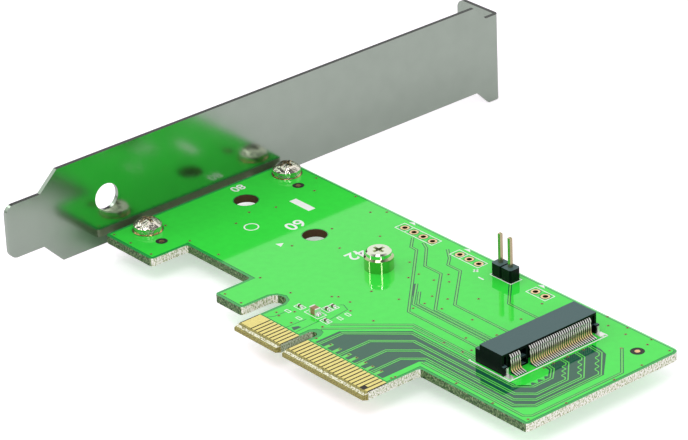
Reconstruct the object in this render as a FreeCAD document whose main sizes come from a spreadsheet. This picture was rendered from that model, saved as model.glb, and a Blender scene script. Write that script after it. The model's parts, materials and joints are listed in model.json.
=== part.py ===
import FreeCAD, Part
import math
import os
import re
import Sketcher

# An adapter card that carries one solid-state drive in a card-edge slot.
# X runs along the card away from its bracket, Y runs from the edge contacts to the card's back
# edge and Z is up from the component face. The origin is on the component face, on the middle
# line of the key notch, at the front edge of the contact tongue. All sizes are in millimetres.

doc = FreeCAD.newDocument("adapter_card")
sheet = doc.addObject("Spreadsheet::Sheet", "Sizes")

SIZES = [
    # Circuit board
    ("board_thickness", 1.57),
    ("board_right", 48.6),
    ("board_back", 48.7),
    ("board_front", 12.9),
    ("foot_left", -42.0),
    ("foot_right", -23.7),
    ("foot_front", 4.8),
    ("recess_back", 13.1),
    ("latch_right", -16.05),
    ("slot_back", 12.8),
    ("corner_radius", 0.8),
    ("end_corner_radius", 1.5),
    # Contact tongue
    ("tongue_left", -12.15),
    ("tongue_right", 22.15),
    ("key_width", 1.9),
    ("key_back", 8.4),
    ("bevel_length", 1.3),
    ("bevel_depth", 0.45),
    ("pad_pitch", 1.0),
    ("pad_width", 0.7),
    ("pad_back", 5.65),
    ("pad_recess", 1.1),
    ("pad_thickness", 0.04),
    ("key_pad_offset", 1.5),
    # Drive fixing holes
    ("drive_axis", 32.2),
    ("drive_hole_42", -10.67),
    ("drive_step_60", 18.0),
    ("drive_step_80", 20.0),
    ("drive_hole_radius", 2.33),
    ("post_radius", 2.73),
    ("post_top", 2.7),
    ("post_collar", 0.35),
    ("post_stem_radius", 2.2),
    ("post_bore_radius", 1.05),
    ("drive_screw_radius", 2.35),
    ("drive_screw_head", 0.95),
    ("drive_screw_length", 2.2),
    ("base_screw_radius", 2.6),
    ("base_screw_head", 0.9),
    ("base_screw_length", 1.6),
    # Bracket
    ("key_to_bracket", 57.1),
    ("bracket_gap", 1.15),
    ("sheet_thickness", 0.86),
    ("plate_width", 18.42),
    ("shoulder_y", -4.0),
    ("shoulder_run", 4.0),
    ("tip_y", -15.6),
    ("tip_low", 1.7),
    ("tip_high", 12.3),
    ("tip_radius", 1.8),
    ("end_y", 104.4),
    ("step_y", 97.8),
    ("step_run", 3.0),
    ("end_shift", 3.0),
    ("tab_depth", 11.43),
    ("tab_radius", 1.8),
    ("notch_width", 4.42),
    ("notch_depth", 4.3),
    ("notch_offset", 5.1),
    ("bend_radius", 0.2),
    ("bracket_hole_y", 6.6),
    ("bracket_hole_z", 6.8),
    ("bracket_hole_radius", 2.6),
    # Bracket lugs and their screws
    ("lug_screw_inset", 3.9),
    ("lug_near_y", 11.7),
    ("lug_far_y", 44.9),
    ("lug_half", 3.7),
    ("lug_reach", 8.2),
    ("lug_radius", 1.8),
    ("relief_width", 0.8),
    ("relief_height", 1.5),
    ("lug_screw_radius", 1.5),
    ("lug_collar_radius", 2.3),
    ("lug_collar_height", 1.0),
    ("lug_screw_length", 5.6),
    ("pan_radius", 2.68),
    ("pan_height", 2.4),
    ("pan_dome", 1.3),
    ("cross_width", 0.75),
    ("cross_length", 3.1),
    ("cross_depth", 1.3),
    ("board_screw_hole", 1.65),
    ("ring_radius", 2.86),
    ("ring_thickness", 0.05),
    # Drive socket
    ("socket_rear", 33.75),
    ("contact_margin", 1.75),
    ("socket_top", 3.85),
    ("socket_top_depth", 5.6),
    ("socket_base_depth", 6.7),
    ("socket_base_top", 2.35),
    ("socket_mouth_top", 3.4),
    ("socket_mouth_depth", 4.6),
    ("socket_end_wall", 1.0),
    ("socket_ear_top", 2.75),
    ("socket_stand", 0.1),
    ("bay_depth", 1.3),
    ("bay_top", 3.5),
    ("bay_ledge", 0.35),
    ("window_width", 0.7),
    ("contact_pitch", 0.5),
    ("contact_width", 0.24),
    ("contact_thickness", 0.16),
    ("tail_reach", 1.8),
    ("front_tail_reach", 0.7),
    ("heel_depth", 0.6),
    ("heel_width", 0.85),
    ("heel_top", 1.75),
    ("hold_width", 0.9),
    ("hold_reach", 2.0),
    ("hold_height", 1.5),
    ("hold_thickness", 0.2),
    ("hold_overhang", 0.15),
    # Pin header and plated holes
    ("pin_pitch", 2.54),
    ("pin_row_y", 45.8),
    ("header_x", 8.0),
    ("header_width", 2.5),
    ("header_height", 2.5),
    ("header_chamfer", 0.3),
    ("header_groove", 0.2),
    ("pin_side", 0.64),
    ("pin_top", 8.5),
    ("pin_bottom", -3.0),
    ("pin_taper", 0.2),
    ("pin_clearance", 0.01),
    ("row_four_x", -19.2),
    ("row_three_x", -4.2),
    ("row_two_x", 15.7),
    ("plate_bore", 0.5),
    ("plate_wall", 0.06),
    ("plate_rim", 0.86),
    ("plate_rim_thickness", 0.04),
    # Chip capacitors and alignment dots
    ("chip_length", 1.0),
    ("chip_width", 0.55),
    ("chip_height", 0.45),
    ("chip_end", 0.25),
    ("chip_seat", 0.03),
    ("bulk_length", 1.8),
    ("bulk_width", 1.2),
    ("bulk_height", 1.3),
    ("bulk_end", 0.3),
    ("bulk_x", -5.32),
    ("bulk_y", 12.75),
    ("chip_one_x", -9.1),
    ("chip_one_y", 12.4),
    ("chip_two_x", -1.85),
    ("chip_two_y", 12.3),
    ("chip_three_x", -5.0),
    ("chip_three_y", 15.2),
    ("chip_four_x", -5.0),
    ("chip_four_y", 16.6),
    ("dot_radius", 0.5),
    ("dot_thickness", 0.04),
    ("dot_left_x", -46.5),
    ("dot_front_y", 10.6),
    ("dot_back_y", 43.1),
    ("dot_right_x", 43.6),
    ("dot_right_y", 43.4),
]

for row, (name, number) in enumerate(SIZES, start=1):
    sheet.set("A%d" % row, name)
    sheet.set("B%d" % row, str(number))
    sheet.setAlias("B%d" % row, name)
doc.recompute()


def bound(text):
    """Write bare size names as names in the sheet; function names keep their bracket."""
    return re.sub(r"\b([a-z]\w*)\b(?!\()", r"Sizes.\1", text)


def value(text):
    """The present value of an expression in the size names."""
    return float(sheet.evalExpression(bound(text)))


def tie(thing, prop, text):
    thing.setExpression(prop, bound(text))


def new_body(label):
    body = doc.addObject("PartDesign::Body", label)
    body.Label = label
    return body


def new_sketch(body, name, role, level="0"):
    sketch = body.newObject("Sketcher::SketchObject", name)
    plane = [item for item in body.Origin.OriginFeatures if item.Role == role][0]
    sketch.AttachmentSupport = [(plane, "")]
    sketch.MapMode = "FlatFace"
    tie(sketch, "AttachmentOffset.Base.z", level)
    return sketch


def place_point(sketch, shape, end, across, up):
    """Hold one sketch point at two expressions, measured from the sketch's origin."""
    index = sketch.addConstraint(Sketcher.Constraint("DistanceX", -1, 1, shape, end, value(across)))
    sketch.setExpression("Constraints[%d]" % index, bound(across))
    index = sketch.addConstraint(Sketcher.Constraint("DistanceY", -1, 1, shape, end, value(up)))
    sketch.setExpression("Constraints[%d]" % index, bound(up))


def polygon(sketch, corners):
    """A closed outline through corners given as pairs of expressions."""
    points = [FreeCAD.Vector(value(across), value(up), 0) for across, up in corners]
    count = len(points)
    lines = [sketch.addGeometry(Part.LineSegment(points[i], points[(i + 1) % count]))
             for i in range(count)]
    for i in range(count):
        sketch.addConstraint(Sketcher.Constraint("Coincident", lines[i], 2, lines[(i + 1) % count], 1))
    for line, (across, up) in zip(lines, corners):
        place_point(sketch, line, 1, across, up)


def rectangle(sketch, left, right, low, high):
    polygon(sketch, [(left, low), (right, low), (right, high), (left, high)])


def circle(sketch, across, up, radius):
    centre = FreeCAD.Vector(value(across), value(up), 0)
    shape = sketch.addGeometry(Part.Circle(centre, FreeCAD.Vector(0, 0, 1), value(radius)))
    place_point(sketch, shape, 3, across, up)
    index = sketch.addConstraint(Sketcher.Constraint("Radius", shape, value(radius)))
    sketch.setExpression("Constraints[%d]" % index, bound(radius))


def pad(body, sketch, length, down=False, middle=False):
    feature = body.newObject("PartDesign::Pad", "Pad")
    feature.Profile = sketch
    tie(feature, "Length", length)
    feature.Reversed = down
    feature.Midplane = middle
    doc.recompute()
    return feature


def pocket(body, sketch, length=None, down=True, middle=False):
    """Cut a sketch out of the body, and make sure that the cut removed something."""
    before = body.Shape.Volume
    feature = body.newObject("PartDesign::Pocket", "Pocket")
    feature.Profile = sketch
    if length is None:
        feature.Type = "ThroughAll"
    else:
        tie(feature, "Length", length)
    feature.Reversed = not down
    feature.Midplane = middle
    doc.recompute()
    if body.Shape.Volume > before - 1e-6:
        raise RuntimeError("the cut %s in %s removes nothing" % (sketch.Name, body.Label))
    return feature


def edges_near(shape, places, reach=0.05):
    """Names of the edges whose middle lies at one of the places; None leaves an axis free."""
    names = []
    for number, edge in enumerate(shape.Edges, start=1):
        middle = edge.valueAt((edge.FirstParameter + edge.LastParameter) / 2)
        for spot in places:
            gaps = [abs(a - b) for a, b in zip(middle, spot) if b is not None]
            if max(gaps) < reach:
                names.append("Edge%d" % number)
                break
    return names


def soften(body, kind, size, places, reach=0.05):
    """Round or chamfer the edges at the places."""
    base = body.Tip
    names = edges_near(base.Shape, places, reach)
    if not names:
        raise RuntimeError("no edge to soften in " + body.Label)
    feature = body.newObject("PartDesign::" + kind, kind)
    feature.Base = (base, names)
    tie(feature, "Radius" if kind == "Fillet" else "Size", size)
    doc.recompute()
    return feature


def put(thing, across, along, up):
    """Tie where a sub-part stands to three expressions."""
    for axis, text in zip("xyz", (across, along, up)):
        tie(thing, "Placement.Base." + axis, text)


def group(label, solids):
    """Like pieces that share one node, as separate solids."""
    feature = doc.addObject("Part::Feature", label)
    feature.Label = label
    feature.Shape = Part.makeCompound(solids)
    return feature


def box_between(low, high):
    return Part.makeBox(high[0] - low[0], high[1] - low[1], high[2] - low[2], FreeCAD.Vector(*low))


parts = []

BOARD_LEFT = "(bracket_gap - key_to_bracket)"
LUG_SCREW_X = "(bracket_gap - key_to_bracket + lug_screw_inset)"
HOLE_60 = "(drive_hole_42 - drive_step_60)"
HOLE_80 = "(drive_hole_42 - drive_step_60 - drive_step_80)"
SLOT_RADIUS = "((tongue_left - latch_right) / 2)"
PLATE_LOW = "(0 - board_thickness - sheet_thickness)"
PLATE_HIGH = "(plate_width - board_thickness - sheet_thickness)"
FIRST_CONTACT = "(18.5 * contact_pitch)"
SOCKET_HALF = "(18.5 * contact_pitch + contact_margin)"
# The centre line of a rear contact, in shares of the bay's depth, the tail's reach and the bay's top
REAR_CONTACT = ((-1.0, 0.0, 0.95), (0.0, 0.0, 0.95), (0.0, 0.2, 0.81), (0.0, 0.12, 0.66),
                (0.0, 0.2, 0.5), (0.0, 0.2, 0.16), (0.0, 0.36, 0.07), (0.0, 1.0, 0.0))
HOLE_ROWS = (("four", "row_four_x", 4), ("three", "row_three_x", 3), ("two", "row_two_x", 2))


def board():
    """The laminate with its stepped outline, contact tongue, key notch and drilled holes."""
    body = new_body("circuit_board")
    outline = new_sketch(body, "board_outline", "XY_Plane")
    polygon(outline, [
        (BOARD_LEFT, "foot_front"), ("foot_left", "foot_front"), ("foot_left", "recess_back"),
        ("foot_right", "recess_back"), ("foot_right", "foot_front"), ("latch_right", "foot_front"),
        ("latch_right", "slot_back - " + SLOT_RADIUS), ("tongue_left", "slot_back - " + SLOT_RADIUS),
        ("tongue_left", "0"), ("tongue_right", "0"), ("tongue_right", "board_front"),
        ("board_right", "board_front"), ("board_right", "board_back"), (BOARD_LEFT, "board_back")])
    pad(body, outline, "board_thickness", down=True)

    slot = new_sketch(body, "latch_slot_end", "XY_Plane")
    circle(slot, "(latch_right + tongue_left) / 2", "slot_back - " + SLOT_RADIUS, SLOT_RADIUS)
    pocket(body, slot)
    notch = new_sketch(body, "key_notch", "XY_Plane")
    rectangle(notch, "0 - key_width / 2", "key_width / 2", "0 - 1", "key_back - key_width / 2")
    pocket(body, notch)
    notch_end = new_sketch(body, "key_notch_end", "XY_Plane")
    circle(notch_end, "0", "key_back - key_width / 2", "key_width / 2")
    pocket(body, notch_end)

    bevel = new_sketch(body, "tongue_bevel", "YZ_Plane")
    polygon(bevel, [("0 - 1", "1"), ("bevel_length", "0"), ("0", "0 - bevel_depth"),
                    ("0 - 1", "0 - bevel_depth")])
    polygon(bevel, [("0 - 1", "0 - board_thickness - 1"), ("bevel_length", "0 - board_thickness"),
                    ("0", "bevel_depth - board_thickness"), ("0 - 1", "bevel_depth - board_thickness")])
    pocket(body, bevel, "4 * (tongue_right - tongue_left)", middle=True)

    holes = new_sketch(body, "drilled_holes", "XY_Plane")
    for across in ("drive_hole_42", HOLE_60, HOLE_80):
        circle(holes, across, "drive_axis", "drive_hole_radius")
    for along in ("lug_near_y", "lug_far_y"):
        circle(holes, LUG_SCREW_X, along, "board_screw_hole")
    for _, start, count in HOLE_ROWS:
        for i in range(count):
            circle(holes, "%s + %d * pin_pitch" % (start, i), "pin_row_y", "plate_bore + plate_wall")
    for side in ("-", "+"):
        circle(holes, "header_x %s pin_pitch / 2" % side, "pin_row_y", "plate_bore + plate_wall")
    pocket(body, holes)

    left = value(BOARD_LEFT)
    right, back, front = value("board_right"), value("board_back"), value("board_front")
    recess, foot = value("recess_back"), value("foot_front")
    corners = [(left, foot), (value("foot_left"), foot), (value("foot_left"), recess),
               (value("foot_right"), recess), (value("foot_right"), foot), (left, back),
               (value("latch_right"), foot), (value("tongue_right"), front), (right, front)]
    soften(body, "Fillet", "corner_radius", [(x, y, None) for x, y in corners])
    soften(body, "Fillet", "end_corner_radius", [(right, back, None)])
    parts.append(body)


def pad_places():
    """Middle of each edge contact along X, numbered as on the card from the bracket's side."""
    offset, pitch = value("key_pad_offset"), value("pad_pitch")
    left = [-offset - pitch * i for i in range(10, -1, -1)]
    right = [offset + pitch * i for i in range(21)]
    return left + right


def edge_contacts():
    """Plated contacts of both faces, from the bevel's edge back. One of each face starts further
    back, so that it touches last, and the first three of the component face are one wide pad."""
    half, front, back = value("pad_width / 2"), value("bevel_length"), value("pad_back")
    thick, board, recess = value("pad_thickness"), value("board_thickness"), value("pad_recess")
    places = pad_places()
    for label, low, joined, late in (("edge_contacts_top", 0.0, 3, 30),
                                     ("edge_contacts_bottom", -board - thick, 1, 0)):
        runs = [(places[0], places[joined - 1])] + [(place, place) for place in places[joined:]]
        solids = []
        for first, last in runs:
            start = front + recess if first == places[late] else front
            solids.append(box_between((first - half, start, low), (last + half, back, low + thick)))
        parts.append(group(label, solids))


def bracket():
    """The folded sheet bracket: slot tongue, stepped plate, bent end tab and two board lugs."""
    body = new_body("bracket")
    plate = new_sketch(body, "plate_outline", "YZ_Plane", "0 - key_to_bracket")
    polygon(plate, [
        ("tip_y", "tip_low"), ("shoulder_y - shoulder_run", "tip_low"), ("shoulder_y", PLATE_LOW),
        ("step_y + 0.5", PLATE_LOW), ("step_y + 0.5 + step_run", PLATE_LOW + " - end_shift"),
        ("end_y", PLATE_LOW + " - end_shift"), ("end_y", PLATE_HIGH + " - end_shift"),
        ("step_y + step_run", PLATE_HIGH + " - end_shift"), ("step_y", PLATE_HIGH),
        ("shoulder_y", PLATE_HIGH), ("shoulder_y - shoulder_run", "tip_high"), ("tip_y", "tip_high")])
    pad(body, plate, "sheet_thickness", down=True)

    tab = new_sketch(body, "tab_outline", "XZ_Plane", "0 - end_y")
    rectangle(tab, "0 - key_to_bracket - tab_depth", "0 - key_to_bracket",
              PLATE_LOW + " - end_shift", PLATE_HIGH + " - end_shift")
    pad(body, tab, "sheet_thickness")
    lugs = new_sketch(body, "lug_outlines", "XY_Plane", PLATE_LOW)
    for middle in ("lug_near_y", "lug_far_y"):
        rectangle(lugs, "0 - key_to_bracket - sheet_thickness", "lug_reach - key_to_bracket",
                  middle + " - lug_half", middle + " + lug_half")
    pad(body, lugs, "sheet_thickness")
    collars = new_sketch(body, "lug_collars", "XY_Plane", PLATE_LOW)
    for middle in ("lug_near_y", "lug_far_y"):
        circle(collars, LUG_SCREW_X, middle, "lug_collar_radius")
    pad(body, collars, "lug_collar_height", down=True)

    bores = new_sketch(body, "lug_bores", "XY_Plane")
    for middle in ("lug_near_y", "lug_far_y"):
        circle(bores, LUG_SCREW_X, middle, "lug_screw_radius")
    pocket(body, bores)
    reliefs = new_sketch(body, "bend_reliefs", "YZ_Plane")
    for middle in ("lug_near_y", "lug_far_y"):
        for inner, outer in ((" - lug_half", " - relief_width"), (" + lug_half", " + relief_width")):
            edges = sorted((middle + inner, middle + inner + outer), key=value)
            rectangle(reliefs, edges[0], edges[1], PLATE_LOW + " - 1", PLATE_LOW + " + relief_height")
    pocket(body, reliefs, "4 * key_to_bracket", middle=True)
    hole = new_sketch(body, "plate_hole", "YZ_Plane")
    circle(hole, "bracket_hole_y", "bracket_hole_z", "bracket_hole_radius")
    pocket(body, hole, "4 * key_to_bracket", middle=True)
    notch = new_sketch(body, "screw_notch", "XZ_Plane")
    low = PLATE_LOW + " - end_shift"
    middle = "(0 - key_to_bracket - sheet_thickness - notch_offset)"
    rectangle(notch, middle + " - notch_width / 2", middle + " + notch_width / 2",
              low + " - 1", low + " + notch_depth - notch_width / 2")
    pocket(body, notch, "4 * end_y", middle=True)
    notch_end = new_sketch(body, "screw_notch_end", "XZ_Plane")
    circle(notch_end, middle, low + " + notch_depth - notch_width / 2", "notch_width / 2")
    pocket(body, notch_end, "4 * end_y", middle=True)

    inner, thick, end = -value("key_to_bracket"), value("sheet_thickness"), value("end_y")
    low, high = value(PLATE_LOW + " - end_shift"), value(PLATE_HIGH + " - end_shift")
    soften(body, "Fillet", "bend_radius + sheet_thickness",
           [(inner, end, None)] + [(inner - thick, value(m), value(PLATE_LOW))
                                   for m in ("lug_near_y", "lug_far_y")])
    soften(body, "Fillet", "bend_radius",
           [(inner - thick, end - thick, None)] + [(inner, value(m), low + value("end_shift") + thick)
                                                   for m in ("lug_near_y", "lug_far_y")])
    tip, reach = value("tip_y"), inner - value("tab_depth")
    lug_end = inner + value("lug_reach")
    soften(body, "Fillet", "tip_radius",
           [(None, tip, value("tip_low")), (None, tip, value("tip_high"))])
    soften(body, "Fillet", "tab_radius", [(reach, None, low), (reach, None, high)])
    soften(body, "Fillet", "lug_radius",
           [(lug_end, value(m + side + "lug_half"), None)
            for m in ("lug_near_y", "lug_far_y") for side in (" - ", " + ")])
    parts.append(body)


def pan_screw(label, along):
    """A pan-head screw with a domed top and a cross recess; its thread is left plain."""
    cylinder = doc.addObject("Part::Cylinder", label + "_disc")
    tie(cylinder, "Radius", "pan_radius")
    tie(cylinder, "Height", "pan_height")
    ball = doc.addObject("Part::Sphere", label + "_ball")
    tie(ball, "Radius", "(pan_radius * pan_radius + pan_dome * pan_dome) / (2 * pan_dome)")
    tie(ball, "Placement.Base.z",
        "pan_height - (pan_radius * pan_radius + pan_dome * pan_dome) / (2 * pan_dome)")
    dome = doc.addObject("Part::MultiCommon", label + "_dome")
    dome.Shapes = [cylinder, ball]
    shank = doc.addObject("Part::Cylinder", label + "_shank")
    tie(shank, "Radius", "lug_screw_radius")
    tie(shank, "Height", "lug_screw_length")
    tie(shank, "Placement.Base.z", "0 - lug_screw_length")
    whole = doc.addObject("Part::MultiFuse", label + "_blank")
    whole.Shapes = [dome, shank]
    arms = []
    for wide, deep in (("cross_length", "cross_width"), ("cross_width", "cross_length")):
        arm = doc.addObject("Part::Box", label + "_arm")
        tie(arm, "Length", wide)
        tie(arm, "Width", deep)
        tie(arm, "Height", "cross_depth + 1")
        put(arm, "0 - %s / 2" % wide, "0 - %s / 2" % deep, "pan_height - cross_depth")
        arms.append(arm)
    cross = doc.addObject("Part::MultiFuse", label + "_cross")
    cross.Shapes = arms
    screw = doc.addObject("Part::Cut", label)
    screw.Base, screw.Tool = whole, cross
    screw.Label = label
    put(screw, LUG_SCREW_X, along, "ring_thickness")
    parts.append(screw)


def ring(label, along):
    """The bare copper ring of the board under a screw's head."""
    body = new_body(label)
    sketch = new_sketch(body, label + "_outline", "XY_Plane")
    circle(sketch, "0", "0", "ring_radius")
    circle(sketch, "0", "0", "board_screw_hole")
    pad(body, sketch, "ring_thickness")
    put(body, LUG_SCREW_X, along, "0")
    parts.append(body)


def turned(label, profile):
    """A body turned about its own upright axis from a half profile of (radius, height)."""
    body = new_body(label)
    sketch = new_sketch(body, label + "_profile", "XZ_Plane")
    polygon(sketch, profile)
    turn = body.newObject("PartDesign::Revolution", label + "_turn")
    turn.Profile = sketch
    turn.ReferenceAxis = (sketch, ["V_Axis"])
    turn.Angle = 360
    doc.recompute()
    return body


def drive_post():
    """The post that holds a 42 mm drive, with the screws above and below it."""
    post = turned("drive_post", [
        ("post_bore_radius", "0 - board_thickness"), ("post_stem_radius", "0 - board_thickness"),
        ("post_stem_radius", "0"), ("post_radius", "0"), ("post_radius", "post_top - post_collar"),
        ("post_radius - post_collar", "post_top"), ("post_bore_radius", "post_top")])
    put(post, "drive_hole_42", "drive_axis", "0")
    screw = turned("drive_screw", [
        ("0", "0 - drive_screw_length"), ("post_bore_radius", "0 - drive_screw_length"),
        ("post_bore_radius", "0"), ("drive_screw_radius", "0"),
        ("drive_screw_radius", "drive_screw_head - 0.3"),
        ("drive_screw_radius - 0.3", "drive_screw_head"), ("0", "drive_screw_head")])
    recess = new_sketch(screw, "drive_screw_recess", "XY_Plane", "drive_screw_head")
    arm, half = "cross_length / 2 - 0.3", "cross_width / 2 - 0.05"
    polygon(recess, [
        ("%s" % arm, "0 - (%s)" % half), (arm, half), (half, half), (half, arm),
        ("0 - (%s)" % half, arm), ("0 - (%s)" % half, half), ("0 - (%s)" % arm, half),
        ("0 - (%s)" % arm, "0 - (%s)" % half), ("0 - (%s)" % half, "0 - (%s)" % half),
        ("0 - (%s)" % half, "0 - (%s)" % arm), (half, "0 - (%s)" % arm), (half, "0 - (%s)" % half)])
    pocket(screw, recess, "drive_screw_head - 0.25")
    put(screw, "drive_hole_42", "drive_axis", "post_top")
    base = turned("post_base_screw", [
        ("0", "base_screw_length"), ("post_bore_radius", "base_screw_length"),
        ("post_bore_radius", "0"), ("base_screw_radius", "0"),
        ("base_screw_radius", "0.25 - base_screw_head"),
        ("base_screw_radius - 0.25", "0 - base_screw_head"), ("0", "0 - base_screw_head")])
    put(base, "drive_hole_42", "drive_axis", "0 - board_thickness")
    parts.extend([post, screw, base])


def contact_places(shift=0.0, counts=((0, 29), (33, 5))):
    """Places along the socket of one row of contacts, with the gap that the key leaves."""
    first, pitch = value(FIRST_CONTACT), value("contact_pitch")
    return [first - shift - pitch * (start + i) for start, count in counts for i in range(count)]


def socket_housing():
    """The moulded drive socket: a slot open to the drive and contact bays at its rear."""
    body = new_body("socket_housing")
    side = new_sketch(body, "socket_section", "XZ_Plane")
    polygon(side, [
        ("0", "socket_stand"), ("0", "socket_top"), ("0 - socket_top_depth", "socket_top"),
        ("0 - socket_top_depth", "socket_ear_top"), ("0 - socket_base_depth", "socket_ear_top"),
        ("0 - socket_base_depth", "socket_stand")])
    pad(body, side, "2 * " + SOCKET_HALF, middle=True)

    mouth = new_sketch(body, "socket_mouth", "XZ_Plane")
    rectangle(mouth, "0 - socket_base_depth - 1", "socket_mouth_depth - socket_base_depth",
              "socket_base_top", "socket_mouth_top")
    pocket(body, mouth, "2 * (%s - socket_end_wall)" % SOCKET_HALF, middle=True)
    half = "contact_pitch * 0.5 + 0.05"
    groups = ((FIRST_CONTACT + " - 28 * contact_pitch", FIRST_CONTACT),
              (FIRST_CONTACT + " - 37 * contact_pitch", FIRST_CONTACT + " - 33 * contact_pitch"))
    bays = new_sketch(body, "contact_bays", "YZ_Plane")
    for low, high in groups:
        rectangle(bays, "%s - (%s)" % (low, half), "%s + %s" % (high, half), "0", "bay_top")
    pocket(body, bays, "bay_depth", down=True)
    windows = new_sketch(body, "key_windows", "YZ_Plane")
    for low, high in (("socket_stand + 0.3", "1.5"), ("1.9", "bay_top - 0.2")):
        rectangle(windows, FIRST_CONTACT + " - 32 * contact_pitch - 0.1",
                  FIRST_CONTACT + " - 29 * contact_pitch + 0.1 - window_width / 2", low, high)
    for end in ("0 - 1", "1"):
        middle = "(%s) * (%s - window_width)" % (end, SOCKET_HALF)
        rectangle(windows, middle + " - 0.25", middle + " + 0.25", "1.6", "bay_top - 0.1")
    pocket(body, windows, "bay_depth - bay_ledge", down=True)
    heels = new_sketch(body, "socket_heels", "YZ_Plane")
    outer = SOCKET_HALF + " + hold_overhang"
    rectangle(heels, outer + " - heel_width", outer, "socket_stand", "heel_top")
    rectangle(heels, "0 - (%s)" % outer, "heel_width - (%s)" % outer, "socket_stand", "heel_top")
    pad(body, heels, "heel_depth")
    put(body, "socket_rear", "drive_axis", "0")
    parts.append(body)


def strip(points, thick, width, along):
    """A bent strip: its centre line in X and Z, swept sideways by its thickness."""
    lean = thick / math.sqrt(2)
    rail = [FreeCAD.Vector(x, along - width / 2, z) for x, z in points]
    back = [FreeCAD.Vector(x + lean, along - width / 2, z + lean) for x, z in reversed(points)]
    outline = Part.makePolygon(rail + back + rail[:1])
    return Part.Face(outline).extrude(FreeCAD.Vector(0, width, 0))


def socket_contacts():
    """The two rows of sprung contacts; the rear row's tails splay out behind the socket."""
    thick, width = value("contact_thickness"), value("contact_width")
    reach, tail, depth = value("tail_reach"), value("front_tail_reach"), value("bay_depth")
    top, rear = value("bay_top"), value("socket_rear")
    axis = value("drive_axis")
    rear_line = [(a * depth + b * reach, c * top) for a, b, c in REAR_CONTACT]
    front = -value("socket_base_depth")
    front_line = [(front - tail, 0.0), (front - thick, 0.0)]
    for label, line, shift, counts in (
            ("socket_contacts_rear", rear_line, 0.0, ((0, 29), (33, 5))),
            ("socket_contacts_front", front_line, 0.25, ((0, 29), (33, 4)))):
        solids = [strip([(x + rear, z) for x, z in line], thick, width, axis + along)
                  for along in contact_places(shift, counts)]
        parts.append(group(label, solids))


def hold_downs():
    """The soldered feet behind the socket's heels, each with an upright tongue."""
    heel, end, axis = value("socket_rear + heel_depth"), value("socket_rear"), value("drive_axis")
    half, wide, over = value(SOCKET_HALF), value("hold_width"), value("hold_overhang")
    end += value("hold_reach")
    tall, thick = value("hold_height"), value("hold_thickness")
    for label, side in (("socket_foot_near", -1), ("socket_foot_far", 1)):
        inner, outer = sorted((axis + side * (half - wide), axis + side * (half + over)))
        foot = box_between((heel, inner, 0.0), (end, outer, thick))
        upright = box_between((heel, inner + wide / 2, 0.0), (heel + thick, inner + wide, tall))
        parts.append(group(label, [foot.fuse(upright).removeSplitter()]))


def header():
    """The two-pin header: a moulded block of chamfered cubes, and two square pins."""
    body = new_body("header_block")
    outline = new_sketch(body, "header_outline", "XY_Plane")
    half, cut = "header_width / 2", "header_chamfer"
    front = [("0 - pin_pitch", "%s - %s" % (cut, half)), ("%s - pin_pitch" % cut, "0 - %s" % half),
             ("0 - %s" % cut, "0 - %s" % half), ("0", "%s - %s" % (cut, half)),
             (cut, "0 - %s" % half), ("pin_pitch - %s" % cut, "0 - %s" % half),
             ("pin_pitch", "%s - %s" % (cut, half))]
    back = [(across, "0 - (%s)" % up) for across, up in reversed(front)]
    polygon(outline, front + back)
    pad(body, outline, "header_height")
    bores = new_sketch(body, "header_bores", "XY_Plane")
    reach = "(pin_side / 2 + pin_clearance)"
    for side in ("0 - ", ""):
        middle = "(%spin_pitch / 2)" % side
        rectangle(bores, "%s - %s" % (middle, reach), "%s + %s" % (middle, reach),
                  "0 - " + reach, reach)
    pocket(body, bores, down=False)
    groove = new_sketch(body, "header_groove_outline", "XZ_Plane")
    polygon(groove, [("0 - header_groove", "header_height + 0.01"), ("0", "header_height - header_groove"),
                     ("header_groove", "header_height + 0.01")])
    pocket(body, groove, "4 * header_width", middle=True)
    put(body, "header_x", "pin_row_y", "plate_rim_thickness")
    parts.append(body)

    for label, side in (("header_pin_1", "-"), ("header_pin_2", "+")):
        pin = new_body(label)
        square = new_sketch(pin, label + "_section", "XY_Plane", "pin_bottom")
        rectangle(square, "0 - pin_side / 2", "pin_side / 2", "0 - pin_side / 2", "pin_side / 2")
        pad(pin, square, "pin_top - pin_bottom")
        soften(pin, "Chamfer", "pin_taper", [(None, None, value("pin_top")),
                                             (None, None, value("pin_bottom"))])
        put(pin, "header_x %s pin_pitch / 2" % side, "pin_row_y", "0")
        parts.append(pin)


def eyelet(across, along):
    """The plating of one drilled hole: a barrel with a rim on each face."""
    bore, wall = value("plate_bore"), value("plate_wall")
    rim, thick = value("plate_rim"), value("plate_rim_thickness")
    board = value("board_thickness")
    up = FreeCAD.Vector(0, 0, 1)
    base = FreeCAD.Vector(across, along, -board - thick)
    barrel = Part.makeCylinder(bore + wall, board + 2 * thick, base, up)
    lower = Part.makeCylinder(rim, thick, base, up)
    upper = Part.makeCylinder(rim, thick, FreeCAD.Vector(across, along, 0), up)
    hollow = Part.makeCylinder(bore, board + 4 * thick, base - up * thick, up)
    return barrel.multiFuse([lower, upper]).cut(hollow).removeSplitter()


def plated_holes():
    row, pitch = value("pin_row_y"), value("pin_pitch")
    for name, start, count in HOLE_ROWS:
        solids = [eyelet(value(start) + pitch * i, row) for i in range(count)]
        parts.append(group("plated_holes_" + name, solids))
    header_x = value("header_x")
    parts.append(group("plated_holes_header", [eyelet(header_x + side * pitch / 2, row)
                                               for side in (-1, 1)]))


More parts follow.
